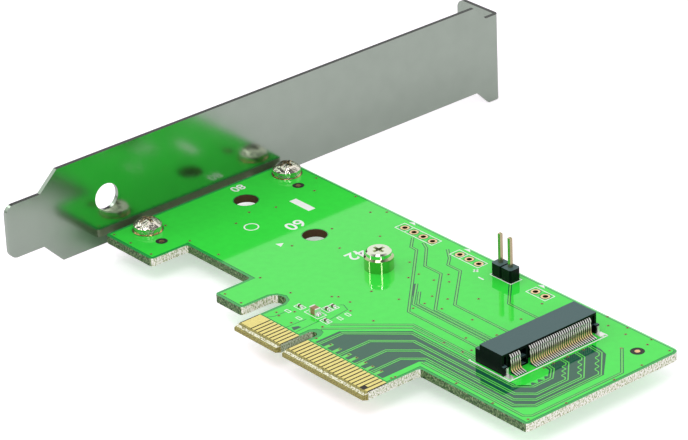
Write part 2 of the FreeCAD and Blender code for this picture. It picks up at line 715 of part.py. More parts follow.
def capacitor(label, size, across, along):
    """A chip capacitor: a ceramic block between two metal end caps."""
    block = doc.addObject("Part::Box", label)
    block.Label = label
    tie(block, "Length", "%s_length - 2 * %s_end" % (size, size))
    tie(block, "Width", "%s_width - 0.04" % size)
    tie(block, "Height", "%s_height - 0.04" % size)
    put(block, "%s - %s_length / 2 + %s_end" % (across, size, size),
        "%s - %s_width / 2 + 0.02" % (along, size), "chip_seat + 0.02")
    parts.append(block)
    length, wide = value(size + "_length"), value(size + "_width")
    tall, end, seat = value(size + "_height"), value(size + "_end"), value("chip_seat")
    x, y = value(across), value(along)
    ends = [box_between((x + side * (length / 2 - end / 2) - end / 2, y - wide / 2, seat),
                        (x + side * (length / 2 - end / 2) + end / 2, y + wide / 2, seat + tall))
            for side in (-1, 1)]
    parts.append(group(label + "_ends", ends))


def alignment_dots():
    radius, thick = value("dot_radius"), value("dot_thickness")
    places = (("dot_left_x", "dot_front_y"), ("dot_left_x", "dot_back_y"),
              ("dot_right_x", "dot_right_y"))
    parts.append(group("alignment_dots", [
        Part.makeCylinder(radius, thick, FreeCAD.Vector(value(x), value(y), 0)) for x, y in places]))


board()
edge_contacts()
bracket()
pan_screw("bracket_screw_near", "lug_near_y")
pan_screw("bracket_screw_far", "lug_far_y")
ring("screw_ring_near", "lug_near_y")
ring("screw_ring_far", "lug_far_y")
drive_post()
socket_housing()
socket_contacts()
hold_downs()
header()
plated_holes()
capacitor("bulk_capacitor", "bulk", "bulk_x", "bulk_y")
for number in ("one", "two", "three", "four"):
    capacitor("capacitor_" + number, "chip", "chip_%s_x" % number, "chip_%s_y" % number)
alignment_dots()
doc.recompute()

for thing in doc.Objects:
    if "Invalid" in thing.State or "Error" in thing.State:
        raise RuntimeError("%s did not compute: %s" % (thing.Label, thing.State))
os.makedirs("parts", exist_ok=True)
for part in parts:
    shape = part.Shape
    if shape.isNull() or not shape.isValid() or not shape.Solids:
        raise RuntimeError("%s has no sound solid" % part.Label)
    shape.exportStep("parts/%s.step" % part.Label)
    print("%-24s %2d solids, %9.3f mm3" % (part.Label, len(shape.Solids), shape.Volume))
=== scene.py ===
import bpy
import json
import math
from mathutils import Matrix, Vector


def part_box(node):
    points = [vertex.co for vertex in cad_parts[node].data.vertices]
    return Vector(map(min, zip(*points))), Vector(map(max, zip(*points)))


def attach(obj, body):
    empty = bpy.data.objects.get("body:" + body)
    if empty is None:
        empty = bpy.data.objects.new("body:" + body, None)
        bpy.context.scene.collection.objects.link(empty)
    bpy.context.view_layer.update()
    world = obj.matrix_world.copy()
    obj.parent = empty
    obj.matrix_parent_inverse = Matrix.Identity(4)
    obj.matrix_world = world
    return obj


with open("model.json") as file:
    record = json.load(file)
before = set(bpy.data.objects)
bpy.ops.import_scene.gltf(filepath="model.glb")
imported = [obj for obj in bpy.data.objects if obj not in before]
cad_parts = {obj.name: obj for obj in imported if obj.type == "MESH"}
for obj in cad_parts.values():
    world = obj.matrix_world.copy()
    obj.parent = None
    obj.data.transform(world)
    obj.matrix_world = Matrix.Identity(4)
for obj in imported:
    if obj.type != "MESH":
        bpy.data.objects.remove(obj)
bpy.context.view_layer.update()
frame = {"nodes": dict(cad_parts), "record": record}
nodes = frame["nodes"]

# Places and sizes are in millimetres and times MM in metres. Colours are linear red, green and blue.
MM = 0.001
BOARD = 1.57
POUR_HIGH = 0.035       # top of the copper areas, above the laminate
TRACK_HIGH = 0.05       # top of the tracks
GROUND_HIGH = 0.012     # top of the thin sheets that show bare laminate
BORDER_HIGH = 0.02      # top of the line along the copper's outline
GAP_HIGH = POUR_HIGH + 0.006
PATCH_HIGH = POUR_HIGH + 0.003
VIA_HIGH, VIA_HOLE_HIGH = TRACK_HIGH + 0.01, TRACK_HIGH - 0.01
SUNK = 0.01             # how far a line reaches down into the copper under it


def middle(node):
    """The middle of a node's box, seen from above, in millimetres."""
    low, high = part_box(node)
    return (low.x + high.x) / 2 / MM, (low.y + high.y) / 2 / MM


POST_X, DRIVE_AXIS = middle("drive_post")
FAR_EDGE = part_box("circuit_board")[1].y / MM


# Materials

RELIEF = 0.05 * MM
UPWARD = 0.95           # how far a face turns up to count as an upper face


def new_material(name):
    material = bpy.data.materials.new(name)
    material.use_nodes = True
    tree = material.node_tree
    return material, tree, tree.nodes["Principled BSDF"]


def add_node(tree, kind, **settings):
    """A node whose inputs and properties are set by name."""
    node = tree.nodes.new(kind)
    for key, setting in settings.items():
        if key in node.inputs:
            node.inputs[key].default_value = setting
        else:
            setattr(node, key, setting)
    return node


def place(tree):
    """The place on the object, in metres."""
    return tree.nodes.new("ShaderNodeTexCoord").outputs["Object"]


def noise(tree, scale, detail=2.0, stretch=None):
    node = add_node(tree, "ShaderNodeTexNoise", Scale=scale, Detail=detail)
    source = place(tree)
    if stretch:
        mapping = add_node(tree, "ShaderNodeMapping", Scale=stretch)
        tree.links.new(source, mapping.inputs["Vector"])
        source = mapping.outputs["Vector"]
    tree.links.new(source, node.inputs["Vector"])
    return node.outputs["Fac"]


def ramp(tree, source, stops):
    node = tree.nodes.new("ShaderNodeValToRGB")
    while len(node.color_ramp.elements) < len(stops):
        node.color_ramp.elements.new(0.5)
    for element, (where, colour) in zip(node.color_ramp.elements, stops):
        element.position = where
        element.color = (*colour, 1)
    tree.links.new(source, node.inputs["Fac"])
    return node.outputs["Color"]


def bump(tree, shader, source, strength, distance=RELIEF):
    node = add_node(tree, "ShaderNodeBump", Strength=strength, Distance=distance)
    tree.links.new(source, node.inputs["Height"])
    tree.links.new(node.outputs["Normal"], shader.inputs["Normal"])


def math_node(tree, operation, *sources):
    """A math node whose inputs are sockets or plain numbers."""
    node = add_node(tree, "ShaderNodeMath", operation=operation)
    for socket, source in zip(node.inputs, sources):
        if isinstance(source, (int, float)):
            socket.default_value = source
        else:
            tree.links.new(source, socket)
    return node.outputs[0]


def above(tree, source, limit):
    return math_node(tree, "GREATER_THAN", source, limit)


def below(tree, source, limit):
    return math_node(tree, "LESS_THAN", source, limit)


def near(tree, source, centre, reach):
    """One where the source is within a reach of the centre, both in millimetres, and otherwise zero."""
    return math_node(tree, "COMPARE", source, centre * MM, reach * MM)


def times(tree, first, second):
    return math_node(tree, "MULTIPLY", first, second)


def size_of(tree, source):
    return math_node(tree, "ABSOLUTE", source)


def blend(tree, share, first, second):
    """Mixes two colours, each a socket or three numbers, by the share of the second."""
    node = add_node(tree, "ShaderNodeMix", data_type="RGBA")
    tree.links.new(share, node.inputs[0])
    for index, colour in ((6, first), (7, second)):
        if isinstance(colour, tuple):
            node.inputs[index].default_value = (*colour, 1)
        else:
            tree.links.new(colour, node.inputs[index])
    return node.outputs[2]


def scale_to(tree, source, low, high, begin=0.0, end=1.0):
    """Low where the source is at most begin, high where it is at least end, and even between them."""
    node = tree.nodes.new("ShaderNodeMapRange")
    tree.links.new(source, node.inputs[0])
    for index, setting in enumerate((begin, end, low, high), 1):
        node.inputs[index].default_value = setting
    return node.outputs[0]


def parts_of(tree, vector):
    """The X, Y and Z sockets of a vector."""
    node = tree.nodes.new("ShaderNodeSeparateXYZ")
    tree.links.new(vector, node.inputs[0])
    return node.outputs


def facing(tree):
    """The X, Y and Z of the direction that the surface faces."""
    return parts_of(tree, tree.nodes.new("ShaderNodeNewGeometry").outputs["Normal"])


def plain(name, colour, metallic=0.0, rough=0.4, vary=0.06, scale=900, relief=0.15, stretch=None,
          top=None, depth=RELIEF):
    """A slightly uneven colour and a fine relief. Level upper faces may have another colour, top, which
    paints light or shade onto them.
    """
    material, tree, shader = new_material(name)
    grain = noise(tree, scale, 3.0, stretch)
    dark = tuple(c * (1 - vary) for c in colour)
    light = tuple(min(1, c * (1 + vary)) for c in colour)
    shade = ramp(tree, grain, [(0.3, dark), (0.7, light)])
    if top:
        shade = blend(tree, above(tree, facing(tree)["Z"], UPWARD), shade, top)
    tree.links.new(shade, shader.inputs["Base Color"])
    shader.inputs["Metallic"].default_value = metallic
    shader.inputs["Roughness"].default_value = rough
    bump(tree, shader, grain, relief, depth)
    return material


def lacquer(name, colour):
    """Glossy green lacquer over one kind of ground, with a faint orange peel."""
    material, tree, shader = new_material(name)
    peel = noise(tree, 700)
    dark = tuple(c * 0.95 for c in colour)
    tree.links.new(ramp(tree, peel, [(0.3, dark), (0.7, colour)]), shader.inputs["Base Color"])
    shader.inputs["Roughness"].default_value = 0.06
    shader.inputs["IOR"].default_value = 1.52
    bump(tree, shader, peel, 0.05, 0.02 * MM)
    return material


# The board's own regions, and how far a face turns to count as level or as sideways
TONGUE_LEFT, CONTACTS_TOP = -12.6, 5.45
BEVEL_REACH = 1.32
THREAD_LEVEL, THREAD_HALF = -0.24, 0.09
KEY_HALF, KEY_SHADE = 1.3, 0.6
HOLES_MIDDLE, HOLES_HALF, HOLE_REACH = POST_X - 18, 23.5, 3
FAR_RIM = 0.3
LEVEL, SIDEWAYS = 0.98, 0.6
# Fibres of the cut edges, in a painted shaded copy for edges facing front and back and a painted lit copy
# for edges facing sideways
SHADED_FIBRES = [(0.36, (0.01, 0.045, 0.01)), (0.5, (0.05, 0.14, 0.03)), (0.66, (0.3, 0.4, 0.2))]
LIT_FIBRES = [(0.35, (0.24, 0.3, 0.12)), (0.46, (0.72, 0.77, 0.55)), (0.57, (1.0, 1.0, 0.93))]


def cut_edges(tree, normal, where):
    """Glass fibres: dark green in front and pale sideways, a painted shaded and a painted lit copy; painted
    shade on the key's walls, painted light in cream at the bracket and painted shade in brown in the holes.
    """
    weave = noise(tree, 4200, 3.0, (1, 1, 0.6))
    dim = ramp(tree, weave, SHADED_FIBRES)
    pale = ramp(tree, weave, LIT_FIBRES)
    # Painted shade on the walls of the key slot
    key_wall_shade = times(tree, near(tree, where["X"], 0.0, KEY_HALF), KEY_SHADE)
    pale = blend(tree, key_wall_shade, pale, dim)
    edge = blend(tree, above(tree, size_of(tree, normal["X"]), SIDEWAYS), dim, pale)
    # The edge facing the bracket is painted cream: painted light where the bracket shades it
    edge = blend(tree, below(tree, normal["X"], -SIDEWAYS), edge, (0.97, 0.94, 0.74))
    # Painted shade: the walls of the drive holes are painted brown
    holes = times(tree, near(tree, where["Y"], DRIVE_AXIS, HOLE_REACH),
                  near(tree, where["X"], HOLES_MIDDLE, HOLES_HALF))
    return weave, blend(tree, holes, edge, (0.1, 0.05, 0.02))


def board_material():
    """Green lacquer on both faces, fibres on cut edges, and a gilded bevel with a pale thread."""
    material, tree, shader = new_material("board")
    normal, where = facing(tree), parts_of(tree, place(tree))
    flat = above(tree, size_of(tree, normal["Z"]), LEVEL)
    weave, edge = cut_edges(tree, normal, where)
    gilt = ramp(tree, noise(tree, 3800), [(0.4, (0.19, 0.17, 0.04)), (0.6, (0.4, 0.36, 0.1))])
    thread = times(tree, near(tree, where["Z"], THREAD_LEVEL, THREAD_HALF), above(tree, weave, 0.46))
    gilt = blend(tree, thread, gilt, (0.85, 0.85, 0.66))
    cut = blend(tree, below(tree, where["Y"], BEVEL_REACH * MM), edge, gilt)
    between_contacts = times(tree, below(tree, where["Y"], CONTACTS_TOP * MM),
                             above(tree, where["X"], TONGUE_LEFT * MM))
    rim = above(tree, where["Y"], (FAR_EDGE - FAR_RIM) * MM)
    top = blend(tree, rim, (0.02, 0.4, 0.07), (0.3, 0.85, 0.35))
    top = blend(tree, between_contacts, top, (0.015, 0.01, 0.004))
    tree.links.new(blend(tree, flat, cut, top), shader.inputs["Base Color"])
    lacquered = times(tree, flat, math_node(tree, "SUBTRACT", 1.0, between_contacts))
    tree.links.new(scale_to(tree, lacquered, 0.6, 0.08), shader.inputs["Roughness"])
    bump(tree, shader, noise(tree, 2600), 0.08, 0.03 * MM)
    return material


BANDS_HIGH = 4


def contact_material():
    """The socket's contacts by height: white tails, gold bends, painted shade on the legs, white tops, and
    painted shade on the flanks.
    """
    material, tree, shader = new_material("contact_metal")
    height = times(tree, parts_of(tree, place(tree))["Z"], 1 / (BANDS_HIGH * MM))
    # The band at 0.32 is painted shade on the legs
    bands = [(0.05, (0.97, 0.97, 0.93)), (0.11, (0.95, 0.7, 0.32)), (0.24, (0.93, 0.72, 0.36)),
             (0.32, (0.4, 0.34, 0.2)), (0.42, (0.55, 0.5, 0.38)), (0.5, (0.97, 0.94, 0.84)),
             (0.62, (0.98, 0.98, 0.95))]
    # Painted shade on the faces that face along the row
    flank_shade = above(tree, size_of(tree, facing(tree)["Y"]), 0.9)
    shade = blend(tree, flank_shade, ramp(tree, height, bands), (0.06, 0.05, 0.035))
    tree.links.new(shade, shader.inputs["Base Color"])
    shader.inputs["Metallic"].default_value = 0.35
    shader.inputs["Roughness"].default_value = 0.3
    bump(tree, shader, noise(tree, 1800, 3.0), 0.15)
    return material


MATS = {
    "laminate": board_material(),
    "pour": lacquer("green_over_copper", (0.04, 0.82, 0.06)),
    "clear": lacquer("green_over_laminate_and_shade", (0.008, 0.105, 0.055)),
    "track": lacquer("green_over_track", (0.13, 0.74, 0.1)),
    "print": plain("white_print", (0.92, 0.94, 0.92), rough=0.5, vary=0.03),
    "dark": plain("dark_laminate_and_painted_via_shade", (0.012, 0.014, 0.01), rough=0.6),
    "via": plain("tented_via", (0.3, 0.24, 0.1), 0.4, 0.35),
    "gold_plating": plain("gold_plating", (0.88, 0.76, 0.26), 1, 0.24, 0.05, 1500, 0.08),
    "pin_plating": plain("pin_plating", (0.56, 0.5, 0.3), 1, 0.2, 0.05, 1500, 0.08),
    # The bracket's level top edges get a dark top colour: painted shade.
    "bracket_steel": plain("bracket_steel", (0.4, 0.49, 0.4), 1, 0.17, 0.03, 260, 0.06, (6, 1, 1),
                           top=(0.04, 0.045, 0.04)),
    "screw_steel": plain("screw_steel", (0.78, 0.83, 0.67), 1, 0.07, 0.02, 1200, 0.03),
    # The post's level faces get a lighter top colour than its sides: painted light.
    "turned_steel": plain("turned_steel", (0.5, 0.56, 0.32), 1, 0.1, 0.02, 1200, 0.03,
                          top=(0.85, 0.8, 0.72)),
    # Plated holes: dark brown walls, painted shade in the bores, under a copper top face.
    "plated_hole": plain("plated_hole", (0.09, 0.055, 0.02), 0.6, 0.4, 0.1, 1500, 0.1,
                         top=(0.95, 0.68, 0.38)),
    "mottled_nickel": plain("mottled_nickel", (0.78, 0.74, 0.64), 1, 0.08, 0.12, 600, 1.0, depth=0.7 * MM),
    "bare_copper": plain("bare_copper", (0.92, 0.56, 0.3), 1, 0.25, 0.08, 1500),
    # The moulding's level tops are greyer than its sides: painted light.
    "black_moulding": plain("black_moulding", (0.0015, 0.003, 0.004), 0, 0.3, 0.2, 3000, 0.3,
                            top=(0.07, 0.13, 0.13)),
    "contact_metal": contact_material(),
    "tinned_metal": plain("tinned_metal", (0.9, 0.9, 0.87), 0.6, 0.25, 0.05, 1800),
    "ceramic": plain("ceramic", (0.34, 0.2, 0.1), 0, 0.45, 0.15, 2500, 0.3),
    "dark_ceramic": plain("dark_ceramic", (0.1, 0.045, 0.02), 0, 0.4, 0.2, 2500, 0.3),
}
MATS["black_moulding"].node_tree.nodes["Principled BSDF"].inputs["IOR"].default_value = 1.24
SMALL_CHIPS = ["capacitor_one", "capacitor_two", "capacitor_three", "capacitor_four"]
OWN_LOOKS = {
    "dark_ceramic": SMALL_CHIPS,
    "pin_plating": ["header_pin_1", "header_pin_2"],
    "mottled_nickel": ["bracket_screw_near", "bracket_screw_far"],
    "turned_steel": ["drive_post"],
    "plated_hole": ["plated_holes_four", "plated_holes_three", "plated_holes_two"],
}
LOOK_OF = {node: look for look, members in OWN_LOOKS.items() for node in members}

for entry in frame["record"]["subparts"]:
    mesh = nodes[entry["node"]].data
    mesh.materials.clear()
    mesh.materials.append(MATS[LOOK_OF.get(entry["node"], entry["material_slot"])])


# Pieces from outlines

def add_piece(name, mesh):
    piece = bpy.data.objects.new(name, mesh)
    bpy.context.scene.collection.objects.link(piece)
    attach(piece, "root")
    return piece


def mesh_of(name, data):
    """The mesh that a curve or text makes."""
    holder = bpy.data.objects.new(name + "_outline", data)
    bpy.context.scene.collection.objects.link(holder)
    bpy.context.view_layer.update()
    mesh = bpy.data.meshes.new_from_object(holder.evaluated_get(bpy.context.evaluated_depsgraph_get()))
    bpy.data.objects.remove(holder)
    mesh.materials.clear()
    return mesh


class Stack:
    """Gathers closed solids into one mesh."""

    def __init__(self):
        self.verts, self.faces, self.indices = [], [], []

    def prism(self, outline, low, high, index=0):
        """An upright solid over an outline."""
        count, start = len(outline), len(self.verts)
        area = sum(a[0] * b[1] - b[0] * a[1] for a, b in zip(outline, outline[1:] + outline[:1]))
        ring = outline if area > 0 else outline[::-1]
        self.verts += [(x, y, low) for x, y in ring] + [(x, y, high) for x, y in ring]
        self.faces += [list(range(start + count, start + 2 * count)),
                       list(range(start + count - 1, start - 1, -1))]
        for i in range(count):
            j = (i + 1) % count
            self.faces.append([start + i, start + j, start + count + j, start + count + i])
        self.indices += [index] * (count + 2)

    def frame(self, outer, inner, low, high, index=0):
        """A flat ring between two outlines with the same number of points."""
        count, start = len(outer), len(self.verts)
        self.verts += ([(x, y, low) for x, y in outer] + [(x, y, low) for x, y in inner]
                       + [(x, y, high) for x, y in outer] + [(x, y, high) for x, y in inner])
        for i in range(count):
            j = (i + 1) % count
            a, b, c, d = start + i, start + j, start + count + i, start + count + j
            up = 2 * count
            self.faces += [[a + up, b + up, d + up, c + up], [a, c, d, b],
                           [a, b, b + up, a + up], [d, c, c + up, d + up]]
        self.indices += [index] * (4 * count)

    def mound(self, x, y, wide, deep, high):
        """A low mound with sloping sides."""
        start, around = len(self.verts), 12
        rows = ((1.0, 0.0), (0.8, 0.35), (0.5, 0.75), (0.2, 1.0))
        for share, height in rows:
            for i in range(around):
                angle = 2 * math.pi * i / around
                self.verts.append((x + wide / 2 * share * math.cos(angle),
                                   y + deep / 2 * share * math.sin(angle), height * high))
        for row in range(len(rows) - 1):
            for i in range(around):
                j = (i + 1) % around
                a = start + row * around
                self.faces.append([a + i, a + j, a + around + j, a + around + i])
        last = start + (len(rows) - 1) * around
        self.faces += [list(range(last, last + around)), list(range(start + around - 1, start - 1, -1))]
        self.indices += [0] * (around * (len(rows) - 1) + 2)

    def piece(self, name, mats, slot):
        mesh = bpy.data.meshes.new(name)
        mesh.from_pydata([Vector(v) * MM for v in self.verts], [], self.faces)
        for mat in mats:
            mesh.materials.append(MATS[mat])
        for face, index in zip(mesh.polygons, self.indices):
            face.material_index = index
        mesh.update()
        return add_piece(name, mesh)


def round_outline(x, y, radius, count):
    angles = [2 * math.pi * i / count for i in range(count)]
    return [(x + radius * math.cos(angle), y + radius * math.sin(angle)) for angle in angles]


def box_outline(left, right, low, high):
    return [(left, low), (right, low), (right, high), (left, high)]


def ribbon(points, width):
    """The outline of a line of that width through the points, mitred at its corners."""
    lines = [Vector((b[0] - a[0], b[1] - a[1])).normalized() for a, b in zip(points, points[1:])]
    sides = [[], []]
    for i, point in enumerate(points):
        before, after = lines[max(i - 1, 0)], lines[min(i, len(lines) - 1)]
        across = (before + after).normalized()
        across = Vector((-across.y, across.x))
        reach = width / 2 / max(0.4, across.dot(Vector((-before.y, before.x))))
        for side, sign in zip(sides, (1, -1)):
            side.append((point[0] + across.x * reach * sign, point[1] + across.y * reach * sign))
    return sides[0] + sides[1][::-1]


def shifted(points, distance):
    """The points of a line beside another one, to its left, or to its right where distance is negative."""
    outline = ribbon(points, 2 * abs(distance))
    return outline[:len(points)] if distance > 0 else outline[len(points):][::-1]


def sheet_with_holes(name, outlines, low, high, mat):
    """A flat sheet bounded by outlines, where an outline inside another is a hole."""
    curve = bpy.data.curves.new(name, "CURVE")
    curve.dimensions = "2D"
    curve.fill_mode = "BOTH"
    curve.extrude = (high - low) / 2 * MM
    for outline in outlines:
        spline = curve.splines.new("POLY")
        spline.points.add(len(outline) - 1)
        for point, (x, y) in zip(spline.points, outline):
            point.co = (x * MM, y * MM, 0, 1)
        spline.use_cyclic_u = True
    mesh = mesh_of(name, curve)
    mesh.transform(Matrix.Translation((0, 0, (low + high) / 2 * MM)))
    mesh.materials.append(MATS[mat])
    return add_piece(name, mesh)


# Copper under the lacquer

# How many sides round outlines have
LARGE_ROUND, RING_ROUND, DOT_ROUND, PIN_ROUND, VIA_ROUND = 32, 28, 24, 20, 12
# Round openings, each with its place and radius
HOLE_STEPS, HOLE_OPENING, POST_OPENING = (-38.0, -18.0), 2.52, 2.6
DRILLED = [(POST_X + step, DRIVE_AXIS, HOLE_OPENING) for step in HOLE_STEPS]
DRILLED += [(POST_X, DRIVE_AXIS, POST_OPENING)]
DOTS = [(-46.5, 10.6, 1.15), (-46.5, 43.1, 1.15), (43.6, 43.4, 1.28)]
PINS = [middle("header_pin_1"), middle("header_pin_2")]
PIN_PITCH = 2.54
PIN_ROWS = ((-19.2, 4), (-4.2, 3), (15.7, 2))
PIN_HOLES = [(left + PIN_PITCH * i, 45.8) for left, count in PIN_ROWS for i in range(count)] + PINS
PIN_OPENING, LUG_OPENING_TOP, LUG_OPENING_BACK = 1.12, 3.0, 3.6
LUG_SCREWS = [middle("bracket_screw_near"), middle("bracket_screw_far")]
CHIPS = [middle(chip) for chip in SMALL_CHIPS]
BULK = middle("bulk_capacitor")
HEADER = middle("header_block")
POUR = [(-55.4, 5.4), (-42.6, 5.4), (-42.6, 13.7), (-23.1, 13.7), (-23.1, 5.4), (-16.65, 5.4),
        (-16.65, 11.2), (-15.9, 12.7), (-14.1, 13.5), (-12.4, 12.8), (-11.5, 11.2), (-11.5, 5.9),
        (-1.6, 5.9), (-1.6, 8.2), (-0.9, 9.4), (0.0, 9.7), (0.9, 9.4), (1.6, 8.2), (1.6, 5.9), (21.6, 5.9),
        (21.6, 13.5), (48.0, 13.5), (48.0, 47.4), (47.8, 47.9), (47.3, 48.1), (-55.4, 48.1)]
# The bare area around the pairs has a waving border beside the first pair
SNAKE = [(39.3 + 0.42 * math.sin(2 * math.pi * i / 12), 21.9 + 4.6 * i / 36) for i in range(37)]
BARE = [(2.55, 6.1), (2.55, 11.6), (11.4, 20.75), (38.2, 20.75)] + SNAKE + [
    (37.9, 28.1), (36.6, 28.3), (36.6, 39.5), (38.6, 39.5), (40.6, 38.9), (45.5, 33.6), (45.5, 18.0),
    (42.9, 15.15), (21.2, 15.15), (20.3, 14.3), (20.3, 6.1)]
DRILLED_OUTLINES = [round_outline(*spot, LARGE_ROUND) for spot in DRILLED]
PIN_OUTLINES = [round_outline(x, y, PIN_OPENING, PIN_ROUND) for x, y in PIN_HOLES]
sheet_with_holes(
    "copper_pour_top",
    [POUR, BARE] + DRILLED_OUTLINES + [round_outline(*spot, LARGE_ROUND) for spot in DOTS] + PIN_OUTLINES
    + [round_outline(x, y, LUG_OPENING_TOP, LARGE_ROUND) for x, y in LUG_SCREWS],
    0.0, POUR_HIGH, "pour")
sheet_with_holes(
    "copper_pour_back",
    [POUR] + DRILLED_OUTLINES + PIN_OUTLINES
    + [round_outline(x, y, LUG_OPENING_BACK, LARGE_ROUND) for x, y in LUG_SCREWS],
    -BOARD - POUR_HIGH, -BOARD, "pour")

SINGLE = [
    [(-15.2, 44.2), (-12.6, 41.5), (-11.1, 41.5), (5.6, 24.9), (26.4, 24.9)],
    [(-12.3, 44.2), (-10.3, 43.2), (-5.3, 38.4), (-1.0, 38.4), (8.4, 28.65), (26.4, 28.65)],
    [(-7.3, 45.6), (-4.4, 43.5), (-2.7, 41.6), (0.6, 41.6), (9.4, 32.35), (26.4, 32.35)],
    [PINS[1], (10.7, 44.4), (15.7, 39.4), (26.4, 39.4)],
    [(-1.26, 32.85), (4.1, 27.3), (26.4, 27.3)],
    [(1.38, 31.2), (4.6, 27.95), (26.4, 27.95)],
    [(-0.4, 12.05), (9.75, 22.35), (27.0, 22.35)],
    [(-0.4, 9.9), (1.8, 12.2), (10.5, 21.5), (26.5, 21.5)],
    [(40.95, 42.3), (47.1, 36.3), (47.1, 15.6), (46.0, 14.5), (20.9, 14.5)]]
THIN = [[(-10.3, 5.9), (-9.6, 6.9), (-9.5, 10.7)], [(-5.05, 5.9), (-4.9, 10.4)],
        [(-2.55, 6.15), (-2.8, 11.5), (-1.9, 13.4), (-2.5, 17.8), (-4.3, 18.4), (-4.8, 17.9)]]
PAIRS = [
    [(3.5, 6.1), (3.5, 11.6), (12.05, 20.15), (37.7, 20.15), (40.1, 22.5), (40.1, 26.6), (38.0, 28.9),
     (36.6, 29.1)],
    [(8.9, 6.1), (8.9, 13.1), (14.3, 18.5), (39.7, 18.5), (42.3, 21.1), (42.3, 28.0), (38.2, 32.1),
     (36.6, 32.2)],
    [(13.4, 6.1), (13.4, 12.9), (17.5, 17.05), (41.0, 17.05), (43.65, 19.7), (43.65, 30.4), (38.7, 35.35),
     (36.6, 35.6)],
    [(17.3, 6.1), (17.3, 12.7), (20.35, 15.8), (42.4, 15.8), (44.95, 18.3), (44.95, 33.2), (39.6, 38.55),
     (36.6, 38.8)]]
STUBS, STUB_BEGINS, STUB_ENDS = (5.25, 7.45, 10.05, 11.75, 14.15, 16.05, 18.3), 6.12, 7.8
# The strips under the socket's tails are painted shade
SHADE_UNDER_TAILS, TAIL_SPANS = (33.9, 35.75), ((-9.5, -7.0), (-5.0, 9.5))
PATCHES = [[(-2.08, 32.32), (4.44, 27.03), (4.42, 27.34), (-1.08, 32.65)],
           [(-4.42, 6.56), (-3.22, 6.14), (-3.18, 7.84), (-3.92, 7.73)]]
GAP_WIDE, SINGLE_WIDE, THIN_WIDE, BORDER_WIDE, STUB_WIDE = 0.6, 0.28, 0.14, 0.16, 0.75
PAIR_SHIFT, PAIR_WIDE, SWING = 0.24, 0.2, 0.6


def wavy(points, swing):
    """The points of a line whose slanting last run but one swings out to its left and back."""
    begin, end = Vector(points[-3]), Vector(points[-2])
    ahead = (end - begin).normalized()
    side = Vector((-ahead.y, ahead.x))
    steps, waves, margin = 36, 3, 0.1
    path = []
    for i in range(steps + 1):
        out = swing * (0.5 - 0.5 * math.cos(2 * math.pi * waves * i / steps))
        path.append(tuple(begin.lerp(end, margin + (1 - 2 * margin) * i / steps) + side * out))
    return points[:-2] + path + points[-2:]


# The gaps are the places without copper, the bare area, the copper's border and the margins of the
# single tracks, and the strips under the socket's tails, which are painted shade under the socket
tracks, gaps = Stack(), Stack()
gaps.prism(BARE, 0.0, GROUND_HIGH)
gaps.prism(ribbon(POUR + POUR[:1], BORDER_WIDE), 0.0, BORDER_HIGH)
# Painted shade: dark strips under the socket's tails
for low, high in TAIL_SPANS:
    gaps.prism(box_outline(*SHADE_UNDER_TAILS, DRIVE_AXIS + low, DRIVE_AXIS + high), POUR_HIGH - SUNK, GAP_HIGH)
for points in SINGLE:
    gaps.prism(ribbon(points, GAP_WIDE), POUR_HIGH - SUNK, GAP_HIGH)
    tracks.prism(ribbon(points, SINGLE_WIDE), POUR_HIGH - SUNK, TRACK_HIGH)
for points in THIN:
    gaps.prism(ribbon(points, THIN_WIDE), POUR_HIGH - SUNK, GAP_HIGH)
for number, points in enumerate(PAIRS):
    inner = shifted(points, PAIR_SHIFT)
    tracks.prism(ribbon(shifted(points, -PAIR_SHIFT), PAIR_WIDE), 0.0, POUR_HIGH)
    tracks.prism(ribbon(wavy(inner, SWING) if number else inner, PAIR_WIDE), 0.0, POUR_HIGH)
for x in STUBS:
    tracks.prism(ribbon([(x, STUB_BEGINS), (x, STUB_ENDS)], STUB_WIDE), 0.0, POUR_HIGH)
for patch in PATCHES:
    gaps.prism(patch, POUR_HIGH - SUNK, PATCH_HIGH)
gaps.piece("track_gaps", ["clear"], "laminate")
tracks.piece("copper_tracks", ["track"], "laminate")

VIAS = [
    (-54.75, 5.95), (-49.9, 6.05), (-43.7, 6.02), (-50.99, 14.97), (-42.88, 14.32), (-42.4, 34.3),
    (-44.3, 29.4), (-42.43, 24.8), (-34.95, 14.7), (-46.5, 47.5), (-42.6, 43.8), (-35.3, 47.7),
    (-28.4, 45.4), (-26.3, 47.6), (-28.3, 36.0), (-19.8, 40.3), (-28.2, 26.4), (-21.4, 32.0),
    (-22.6, 14.4), (-22.2, 6.0), (-17.6, 5.95), (-14.35, 14.6), (-8.1, 18.9), (-7.25, 19.7), (-8.4, 10.6),
    (-5.7, 7.6), (-0.75, 10.55), (-1.75, 17.8), (3.84, 18.3), (-4.3, 19.9), (-4.7, 25.2), (0.97, 26.7),
    (-8.3, 37.4), (-4.0, 33.3), (-3.7, 35.5), (4.2, 31.65), (-0.1, 35.9), (2.3, 37.4), (0.1, 39.2),
    (6.9, 32.9), (10.7, 36.8), (8.9, 29.75), (5.3, 28.9), (5.2, 26.3), (19.8, 43.5), (23.4, 43.5),
    (15.6, 30.85), (21.35, 37.07), (31.2, 48.3), (33.6, 46.2), (36.5, 48.0), (37.95, 46.15), (42.35, 48.0),
    (43.15, 46.25), (47.3, 47.4), (47.6, 40.5), (47.9, 33.7), (48.0, 22.5), (23.4, 37.05), (23.3, 32.9),
    (22.65, 30.15), (19.7, 25.65), (23.6, 23.4), (18.3, 21.8), (23.0, 21.9), (21.3, 7.2), (21.45, 7.95),
    (30.3, 13.85), (39.5, 13.75), (47.5, 14.3), (-10.5, 8.2), (-9.2, 7.7), (1.7, 7.1), (5.15, 7.4),
    (7.45, 7.55), (10.05, 7.35), (11.8, 7.6), (14.15, 7.6), (16.0, 7.6), (18.25, 7.6), (36.75, 28.0),
    (36.7, 30.3), (36.7, 33.6), (36.8, 37.2), (40.95, 42.15)]
VIA_RADIUS, VIA_HOLE = 0.27, 0.13
vias = Stack()
